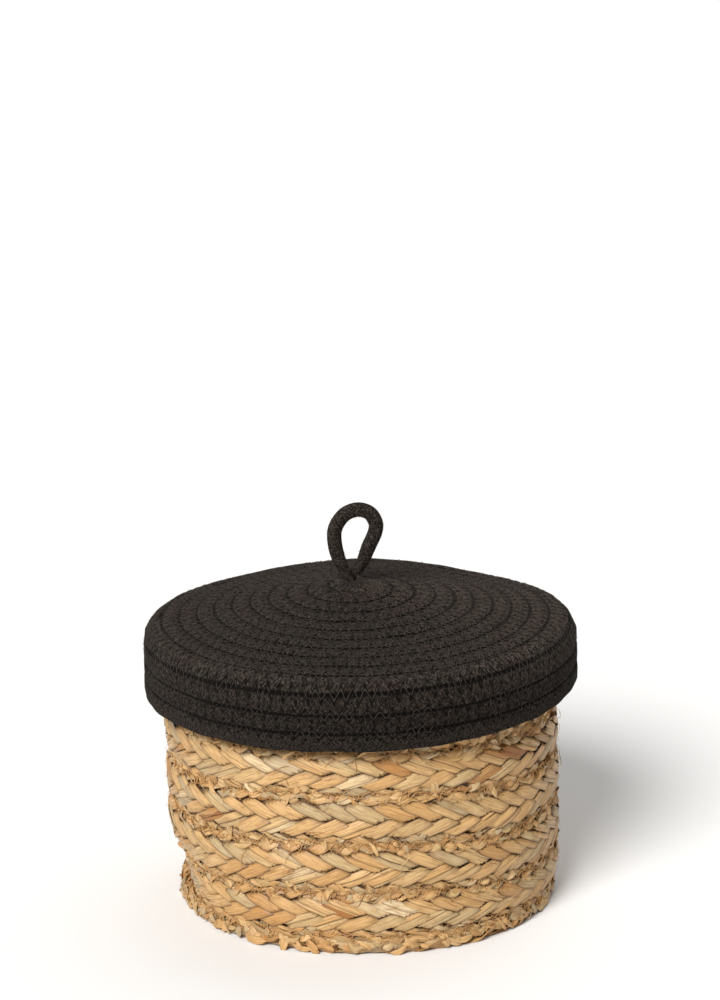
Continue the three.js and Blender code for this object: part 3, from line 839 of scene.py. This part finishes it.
def rope_material():
    material, add, shader = new_material("braided_black_cotton")
    tone = add("Attribute", output="Fac", attribute_name="tone")
    grain = add("Attribute", output="Vector", attribute_name="grain")
    marks = add("Attribute", output="Vector", attribute_name="marks")
    run, around, depth = add("SeparateXYZ", [grain]).node.outputs
    outside, inside, across = add("SeparateXYZ", [marks]).node.outputs
    place = add("VectorMath", [grain, FUZZ_PER_MM], "MULTIPLY")
    fuzz = add("TexNoise", {"Vector": place, "Scale": 1.0, "Detail": 3.0, "Roughness": 0.75})
    place = add("VectorMath", [grain, WARP_PER_MM], "MULTIPLY")
    warp = add("TexNoise", {"Vector": place, "Scale": 1.0, "Detail": 1.0, "Roughness": 0.5})
    # The braid: yarns across the rope, with loose strokes of cotton along them.
    column = add("Math", [around, COLUMN_MM / 2], "PINGPONG")
    ahead = add("Math", [warp, 2.0, run], "MULTIPLY_ADD")
    ahead = add("Math", [column, 0.75, ahead], "MULTIPLY_ADD")
    yarn = add("Math", [ahead, math.pi / YARN_MM], "MULTIPLY")
    yarn = add("Math", [add("Math", [yarn], "SINE")], "ABSOLUTE")
    place = add("CombineXYZ", [ahead, around])
    place = add("VectorMath", [place, STROKES_PER_MM], "MULTIPLY")
    stroke = add("TexNoise", {"Vector": place, "Scale": 1.0, "Detail": 2.0, "Roughness": 0.6})
    stroke = add("MapRange", [stroke, 0.4, 0.62, 0.55, 0.748], interpolation_type="SMOOTHSTEP")
    braid = add("Math", [yarn, 0.162, stroke], "MULTIPLY_ADD")
    # The stitches nearest to this point: how many so far, and the distance from their seam.
    is_outside = add("Math", [across, 0.0], "GREATER_THAN")
    count = add("Mix", {"Factor": is_outside, "A": inside, "B": outside})
    offset = add("Math", [across], "ABSOLUTE")
    offset = add("Math", [ROPE_PITCH / 2, offset], "SUBTRACT")
    swing = add("Math", [count, 1.0], "PINGPONG")
    # The furrow under the thread, as far as the stitches reach.
    zig = add("Math", [swing, -2 * FURROW_REACH, FURROW_REACH], "MULTIPLY_ADD")
    away = add("Math", [add("Math", [offset, zig], "SUBTRACT")], "ABSOLUTE")
    furrow = add("MapRange", [away, 0.1, 1.7, 0.68, 1.0], interpolation_type="SMOOTHSTEP")
    beyond = add("MapRange", [offset, FURROW_REACH, FURROW_REACH + 1.0, 0.68, 1.0])
    furrow = add("Math", [furrow, beyond], "MAXIMUM")
    unsewn = add("Math", [depth, -0.32, 1.0], "MULTIPLY_ADD")
    furrow = add("Math", [furrow, unsewn], "MAXIMUM")
    # The needle's holes, at the tips of the zigzag on this side of the seam.
    tip = add("VectorMath", [add("CombineXYZ", [swing, offset]), (0, ZIGZAG_REACH, 0)], "SUBTRACT")
    tip = add("VectorMath", [tip, (4.0, 1 / HOLE_MM, 1.0)], "MULTIPLY")
    hole = add("VectorMath", [tip, tip], "DOT_PRODUCT")
    hole = add("MapRange", [hole, 0.1, 1.5, 0.72])
    no_hole = add("Math", [depth, -1.3, 1.0], "MULTIPLY_ADD")
    hole = add("Math", [hole, no_hole], "MAXIMUM")
    # The rope's height from all three, roughened by the fuzz.
    held = add("Math", [hole, furrow], "MULTIPLY")
    body = add("Math", [braid, held], "MULTIPLY")
    rough = add("Math", [fuzz, 2.8, -0.4], "MULTIPLY_ADD")
    height = add("Math", [body, rough], "MULTIPLY")
    bump = add("Bump", {"Height": height, "Strength": 1.0, "Distance": 0.9 * MM})
    # The seam gapes between the places where the thread crosses it, which makes a row of pits with painted
    # shade.
    deepest = add("MapRange", [depth, 0.0, 0.9 / 1.3, 0.0, 0.9])
    pit = add("MapRange", [offset, 0.1, 1.2, deepest, 0.0], interpolation_type="SMOOTHSTEP")
    crossing = add("Math", [count, 0.5], "PINGPONG")
    gape = add("Math", [crossing, 1.5, -1.0], "MULTIPLY_ADD")
    clear = add("Math", [pit, gape, 1.0], "MULTIPLY_ADD")
    bridge = add("Math", [warp, 1.6, -0.55], "MULTIPLY_ADD")
    clear = add("Math", [clear, bridge], "MAXIMUM")
    # Painted shade in the pits and hollows, painted light on the backs of the yarns. The skirt and the
    # loop are drawn tight, so their cotton is smoother than the crown's and its painted shade and light
    # are weaker.
    loose = add("MapRange", [depth, 0.6, 1.1, 1.0, 0.7])
    shade_and_light = add("Math", [height, clear, -0.66], "MULTIPLY_ADD")
    shade_and_light = add("Math", [shade_and_light, loose, 0.66], "MULTIPLY_ADD")
    black = add("ValToRGB", [shade_and_light], stops=COTTON_SHADED_TONES)
    # Washed cotton keeps a trace of the dyes in its black: reddish here, greenish there.
    place = add("VectorMath", [grain, DYE_PER_MM], "MULTIPLY")
    dye = add("TexNoise", {"Vector": place, "Scale": 1.0, "Detail": 2.0, "Roughness": 0.6})
    dye = add("ValToRGB", [dye], stops=[(0.38, "fff5f1"), (0.62, "f6f7f0")])
    dyed = add("Mix", {"Factor": 1.0, "A": black, "B": dye}, data_type="RGBA", blend_type="MULTIPLY")
    # Up to a tone of 0.1 the tone is painted light and sheen, which make the cotton darker or lighter.
    # Above it are loose hairs.
    painted_light_gain = add("MapRange", [tone, 0.0, 0.1, 0.45, 1.5])
    cotton_with_painted_light = add("VectorMath", {"Vector": dyed, "Scale": painted_light_gain}, "SCALE")
    hair = add("MapRange", [tone, 0.1])
    cotton_colour_with_painted_light = add("Mix", {"Factor": hair, "A": cotton_with_painted_light, "B": linear("7d736b")}, data_type="RGBA")
    fill(shader, {"Base Color": cotton_colour_with_painted_light, "Normal": bump, "Roughness": 0.95, "IOR": 1.5,
                  "Specular IOR Level": 0.05, "Sheen Weight": 0.045, "Sheen Roughness": 0.5,
                  "Sheen Tint": linear("b5aaa2")})
    return material


rope_cotton = rope_material()
print("nodes in the cotton:", len(rope_cotton.node_tree.nodes))

# %% [markdown]
# ## The rope's way round the lid
# The rope is one line from the peak to the edge of the skirt. A table turns the length run along it
# into loops wound. The machine sets a stitch each 2.8 mm, not quite evenly, from the first loop to
# the last seam.

# %% Length, loops and stitches
STITCH = 2.8
loop_table = np.linspace(-0.9, ROPE_LOOPS, 2000)
line = lid_point(loop_table, 0, 0 * loop_table)
run_table = distances(line)
rope_length = run_table[-1]
seam_first, seam_last = np.interp([0.1, ROPE_LOOPS - 1], loop_table, run_table)
knot_count = int((seam_last - seam_first) / STITCH)
knots = seam_first + np.arange(knot_count) * STITCH + rng.uniform(-0.35, 0.35, knot_count)
print("rope length:", round(rope_length), "mm, stitches:", knot_count)

# %% [markdown]
# ## The coil of rope
# The rope's section is nearly square on the skirt, where the loops press on each other, and rounder
# on the crown. Its last stretch is trimmed thin and sewn up against the loop above it. Light and
# sheen are painted into its tone: the crown lighter than the skirt, and the ridge between them lightest.

# %% The rope of the lid
ROPE_SIDES = 16
ROPE_STEP = 1.75
TRIM_LENGTH = 14


def rope_section(extra_width, squareness):
    turn = TURN * np.arange(ROPE_SIDES) / ROPE_SIDES
    u, v = np.cos(turn), np.sin(turn)
    return np.stack([(ROPE_PITCH / 2 + extra_width) * np.sign(u) * np.abs(u) ** (2 / squareness),
                     ROPE_THICKNESS / 2 * np.sign(v) * np.abs(v) ** (2 / squareness)])


run = np.linspace(0, rope_length, int(rope_length / ROPE_STEP))[:, None]
loops = np.interp(run, run_table, loop_table)
on_crown = 1 - smooth((loops - CROWN_LOOPS + 0.5) / 3)
trim = 1 - smooth((rope_length - run) / TRIM_LENGTH)
tight, rounder = rope_section(0.12, 5.6), rope_section(0.6, 4.0)
u, v = tight[:, None] + (rounder - tight)[:, None] * on_crown
sway = 0.16 * np.sin(run / 11) + 0.12 * np.sin(run / 4.7 + 1)
swell = 1 + 0.02 * np.sin(run / 7.3) + 0.02 * np.sin(run / 3.1 + 2)
rise = 0.14 * np.sin(run / 17 + 1) + 0.1 * np.sin(run / 6.1) + 0.08 * np.sin(run / 2.9)
across = sway - 2.6 * trim + u * swell * (1 - 0.6 * trim)
rings = lid_point(loops, across, v * swell * (1 - 0.4 * trim) + rise)
print("rings of rope:", len(rings), "with points:", ROPE_SIDES)

# %% Tones, seams and stitches on the rope
angle = -TURN / 4 - loops * TURN
# Painted light and sheen: the crown lighter towards its right and back left, the skirt on its left where
# the main light falls, and a painted highlight along the ridge.
crown_painted_light = 0.028 + 0.068 * near(angle, 10, 60) + 0.032 * near(angle, 150, 70)
skirt_painted_light = 0.002 + 0.02 * near(angle, 180, 50)
ridge_painted_highlight = 0.035 * np.exp(-((lid_profile(loops, across) - CROWN_LENGTH + 0.5) / 2.6) ** 2)
rope_painted_light = np.minimum(crown_painted_light * on_crown + skirt_painted_light * (1 - on_crown) + ridge_painted_highlight, 0.1)
run_inside = np.interp(loops - 1, loop_table, run_table)
seam_run = np.where(u > 0, run, run_inside)
has_seam = (seam_run > seam_first) & (seam_run < seam_last) & ((loops > 1) | (u > 0))
seam_depth = has_seam * (0.6 + 0.4 * smooth((loops - CROWN_LOOPS + 1) / 1.5))
numbers = np.arange(knot_count)
stitches_outside = np.interp(run, knots, numbers)
stitches_inside = np.interp(run_inside, knots, numbers) + 1
around = np.concatenate([[0], np.cumsum(np.hypot(*np.diff(tight)))])
grain = np.stack(np.broadcast_arrays(run, around, seam_depth), -1)
marks = np.stack(np.broadcast_arrays(stitches_outside, stitches_inside, u), -1)
pile = Pile()
pile.add(rings[None], rope_painted_light[None], grain[None], marks=marks[None])
print("tones of rope:", rope_painted_light.min().round(3), "to", rope_painted_light.max().round(3))

# %% [markdown]
# ## Cotton fuzz
# Washed cotton is never clean at its edge. Short hairs stand off the rope, each a bent line of
# three points, and they catch the light along the lid's outline.

# %% Hairs on the rope
HAIR_THINNING = np.array([1.0, 0.9, 0.4])
SURFACE_SQUARENESS = 4.6


def rope_surface(offset):
    """The rope's upper surface at a distance from the seam, in mm above its middle line."""
    share = np.clip(1 - np.abs(offset) / (ROPE_PITCH / 2), 0, 1)
    return ROPE_THICKNESS / 2 * (1 - share ** SURFACE_SQUARENESS) ** (1 / SURFACE_SQUARENESS)


ROPE_HAIRS = 4200
run = rng.uniform(1, rope_length - 1, (ROPE_HAIRS, 1))
across = rng.uniform(-0.5, 0.5, (ROPE_HAIRS, 1)) * ROPE_PITCH
lie = rng.uniform(0, TURN, (ROPE_HAIRS, 1))
reach = rng.uniform(0.8, 2.2, (ROPE_HAIRS, 1)) * np.array([0, 0.5, 1])
stand = rng.uniform(0.15, 0.8, (ROPE_HAIRS, 1)) * np.array([-0.3, 1.0, 0.6])
loops = np.interp(run + reach * np.cos(lie), run_table, loop_table)
height = rope_surface(ROPE_PITCH / 2 - np.abs(across)) + stand
centres, outs = laid_on(lid_point, loops, across + reach * np.sin(lie), height)
radius = rng.uniform(0.035, 0.07, (ROPE_HAIRS, 1)) * HAIR_THINNING
rings = sweep(centres, outs, HAIR_SECTION, radius, radius)
grain = grain_of(centres, HAIR_SECTION, radius, rng.uniform(0, 900, ROPE_HAIRS))
pile.add(rings, rng.uniform(0.1, 0.75, ROPE_HAIRS), grain)
pile.build("coiled_rope_lid", rope_cotton, "lid", "lid_rope")

# %% [markdown]
# ## Zigzag stitches in the lid
# Each loop of rope is joined to the last one by a machine zigzag about 5 mm wide. The thread is
# mercerised cotton, black and washed like the rope but smoother, so it shows as fine light lines
# across the dark seam. It follows the same knots as the furrows that the rope's material draws.

# %% The stitches that join the loops of rope
STITCH_RADIUS = 0.15
STITCH_STEPS = 4
black_thread = thread_material("mercerised_cotton_thread", "453c35", "241f1b", 0.5, 0.7)
sides = np.where(numbers % 2, 1, -1) * rng.uniform(0.85, 1.1, knot_count) * ZIGZAG_REACH
at = np.arange((knot_count - 1) * STITCH_STEPS + 1) / STITCH_STEPS
low = np.minimum(np.floor(at).astype(int), knot_count - 2)
part = at - low
offset = sides[low] * (1 - part) + sides[low + 1] * part
loops = np.interp(knots[low] * (1 - part) + knots[low + 1] * part, run_table, loop_table)
lowest = ROPE_THICKNESS / 2 * (0.92 - 0.17 * smooth((loops - CROWN_LOOPS + 1) / 2))
height = np.maximum(rope_surface(offset) + 0.08 - 0.5 * (np.abs(part - 0.5) > 0.4), lowest)
centres, outs = laid_on(lid_point, loops, ROPE_PITCH / 2 + offset, height)
pile = Pile()
add_thread(pile, centres, outs, STITCH_RADIUS)
pile.build("lid_zigzag", black_thread, "lid", "lid_seam_thread")

# %% [markdown]
# ## The loop handle
# A piece of the same rope is bent into a pear-shaped loop. Its legs are squeezed together where
# they pass down through the lid's centre, and its tails are sewn flat under the crown. The line
# through the listed points is a centripetal Catmull-Rom curve, as in the CAD.

# %% A smooth line through the loop's points
def through(points, per_span):
    """A centripetal Catmull-Rom curve, sampled evenly in each span."""
    points = np.asarray(points, float)
    padded = np.vstack([2 * points[0] - points[1], points, 2 * points[-1] - points[-2]])
    line = []
    for i in range(1, len(padded) - 2):
        p = padded[i - 1:i + 3]
        t = np.concatenate([[0], np.cumsum(np.linalg.norm(np.diff(p, axis=0), axis=1) ** 0.5)])
        at = np.linspace(t[1], t[2], per_span, endpoint=False)[:, None]
        a = [((t[k + 1] - at) * p[k] + (at - t[k]) * p[k + 1]) / (t[k + 1] - t[k]) for k in range(3)]
        b = [((t[k + 2] - at) * a[k] + (at - t[k]) * a[k + 1]) / (t[k + 2] - t[k]) for k in range(2)]
        line.append(((t[2] - at) * b[0] + (at - t[1]) * b[1]) / (t[2] - t[1]))
    return np.vstack(line + [points[-1:]])


CROWN_TOP = PEAK + ROPE_THICKNESS / 2 / math.cos(SLOPE)
LOOP_HEIGHT = 36.0
LOOP_HALF_WIDTH = 10.0
LOOP_ROPE_RADIUS = 3.55
TAIL_LENGTH = 12
loop_shares = [
    (-0.22, 1, 0.01), (-0.58, 0.8, 0.233), (-0.845, 0.45, 0.456), (-0.9, 0.2, 0.683),
    (-0.76, 0.1, 0.8), (-0.35, 0, 0.936), (0.29, 0, 0.994), (0.83, 0, 0.94), (1.11, -0.1, 0.8),
    (1.08, -0.2, 0.683), (0.735, -0.45, 0.456), (0.41, -0.8, 0.233), (-0.02, -1, 0.039),
]


def tail_points(side):
    bend = LEG_OFFSET + 2 * LEG_RADIUS
    under = [(LEG_OFFSET, PEAK - ROPE_THICKNESS / 4), (LEG_OFFSET, crown_underside(0) - CLEARANCE)]
    for out in [(LEG_OFFSET + bend) / 2] + [bend + share * TAIL_LENGTH for share in (0, 0.4, 0.75, 1)]:
        held = 0 if out < bend else out
        under.append((out, crown_underside(held) - (CLEARANCE + LEG_RADIUS) / math.cos(SLOPE)))
    return [(CROWN_LEAN, -side * out, level) for out, level in under]


loop_points = [(CROWN_LEAN + a * LOOP_HALF_WIDTH, -t * LEG_OFFSET, CROWN_TOP + up * LOOP_HEIGHT)
               for a, t, up in loop_shares]
line = through(tail_points(1)[::-1] + loop_points + tail_points(-1), 16)
run = distances(line * MM)
even = np.linspace(0, run[-1], int(run[-1] / 0.45))
x, y, z = (np.interp(even, run, column) for column in line.T)
print("loop's rope:", round(run[-1]), "mm")

# %% The loop and its hairs
LOOP_SIDES = 26
LOOP_TONE = 0.045
LOOP_HAIRS = 420
turns = [TURN * i / LOOP_SIDES for i in range(LOOP_SIDES)]
loop_section = [(math.cos(turn), math.sin(turn)) for turn in turns]
centres = lid_to_world(x, y, z)
# The line lies close to one upright plane, so one direction across it serves as the frame's out.
outs = unit(np.broadcast_to(np.array([0.12, 1.0, 0.05]), centres.shape))
radius = LEG_RADIUS + (LOOP_ROPE_RADIUS - LEG_RADIUS) * smooth(2 * (z - CROWN_TOP) / LOOP_HEIGHT)
rings = sweep(centres, outs, loop_section, radius, radius)
around = np.linspace(0, TURN * LOOP_ROPE_RADIUS, LOOP_SIDES, endpoint=False)
# A seam depth above 1.1, which no seam has, gives the loop the smoothest cotton.
grain = np.stack(np.broadcast_arrays(even[:, None], around, 5.0), -1)
pile = Pile()
pile.add(rings[None], LOOP_TONE, grain[None])
k = rng.integers(30, len(centres) - 31, LOOP_HAIRS)
forward = unit(centres[k + 2] - centres[k - 2])
side = unit(np.cross(forward, outs[k]))
top = np.cross(side, forward)
turn = rng.uniform(0, TURN, (LOOP_HAIRS, 1))
away = side * np.cos(turn) + top * np.sin(turn)
lie = rng.uniform(0, TURN, (LOOP_HAIRS, 1))
flat = forward * np.cos(lie) + np.cross(forward, away) * np.sin(lie)
reach = rng.uniform(0.8, 2.4, (LOOP_HAIRS, 1, 1)) * np.array([0, 0.5, 1])[:, None]
stand = rng.uniform(0.2, 0.8, (LOOP_HAIRS, 1, 1)) * np.array([-0.3, 0.9, 0.8])[:, None]
bent = away[:, None] * (radius[k][:, None, None] + stand) + flat[:, None] * reach
hairs = centres[k][:, None] + bent * MM
thin = rng.uniform(0.035, 0.07, (LOOP_HAIRS, 1)) * HAIR_THINNING
rings = sweep(hairs, np.broadcast_to(away[:, None], hairs.shape), HAIR_SECTION, thin, thin)
pile.add(rings, rng.uniform(0.1, 0.75, LOOP_HAIRS), grain_of(hairs, HAIR_SECTION, thin, 0.0))
pile.build("rope_loop", rope_cotton, "lid", "loop_handle")

# %% [markdown]
# ## Stitches that hold the loop
# The legs are sewn to the first loop of rope with a few slanting stitches beside the hole, in a
# thicker waxed thread. Each pass is a short line over the rope.

# %% Tack stitches
TACK_RADIUS = 0.34
tack_thread = thread_material("waxed_black_thread", "2f2926", "151211", 0.5, 0.85)
pile = Pile()
for start, passes in ((0.02, 7), (0.5, 6)):
    loops = start + 0.03 * np.arange(passes)
    knot_side = np.where(np.arange(passes) % 2, 1.6, -3.2)
    points = lid_point(loops, knot_side, np.full(passes, ROPE_THICKNESS / 2 - 0.1))
    path = np.empty((2 * passes - 1, 3))
    path[0::2] = points
    path[1::2] = (points[1:] + points[:-1]) / 2 + np.array([0, 0, 0.35 * MM])
    centres = through(path, 4)
    outs = np.broadcast_to(np.array([0.0, 0.0, 1.0]), centres.shape)
    add_thread(pile, centres, outs, TACK_RADIUS)
pile.build("loop_tack", tack_thread, "lid", "loop_tack_thread")
